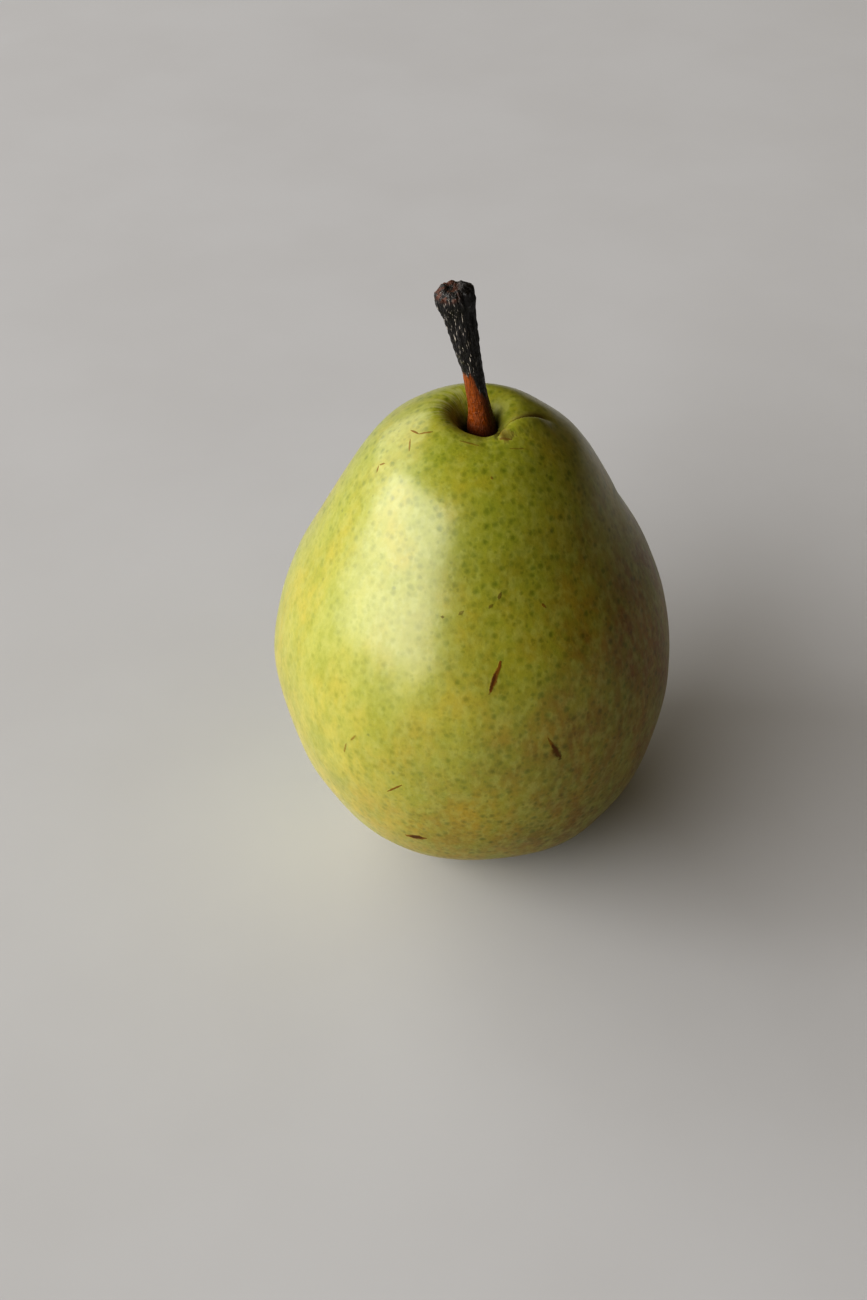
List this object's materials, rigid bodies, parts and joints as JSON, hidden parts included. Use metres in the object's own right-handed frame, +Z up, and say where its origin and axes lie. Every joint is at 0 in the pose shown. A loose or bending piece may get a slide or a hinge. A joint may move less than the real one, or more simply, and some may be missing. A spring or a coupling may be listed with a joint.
{
  "type": "pear",
  "caption": "Whole ripe green pear standing upright on its calyx end, squat with a short broad neck, a leaning woody stem rooted in its top and dried sepals in the pit underneath.",
  "frame": {"origin": "on the surface that the fruit stands on, under the middle of the fruit", "axes": "+Z up along the fruit's core line from the calyx end to the stem end, -Y towards the side that faces the viewer, +X towards the blushed side; the stem leans towards -X"},
  "size_m": [0.0758, 0.0758, 0.117],
  "materials": {
    "pear_skin": "waxy fruit skin, yellow-green with darker green pores, a warm blush on one side and small russet scars, semi-gloss",
    "stem_bark": "dried woody stem, black and ribbed above, glossy orange-brown below",
    "dried_calyx": "dry brown papery sepals and stamens, matte"
  },
  "bodies": {
    "root": {"fruit": "pear_skin", "stem": "stem_bark", "sepal_1": "dried_calyx", "sepal_2": "dried_calyx", "sepal_3": "dried_calyx", "sepal_4": "dried_calyx", "sepal_5": "dried_calyx", "stamen_tuft": "dried_calyx"}
  },
  "joints": []
}
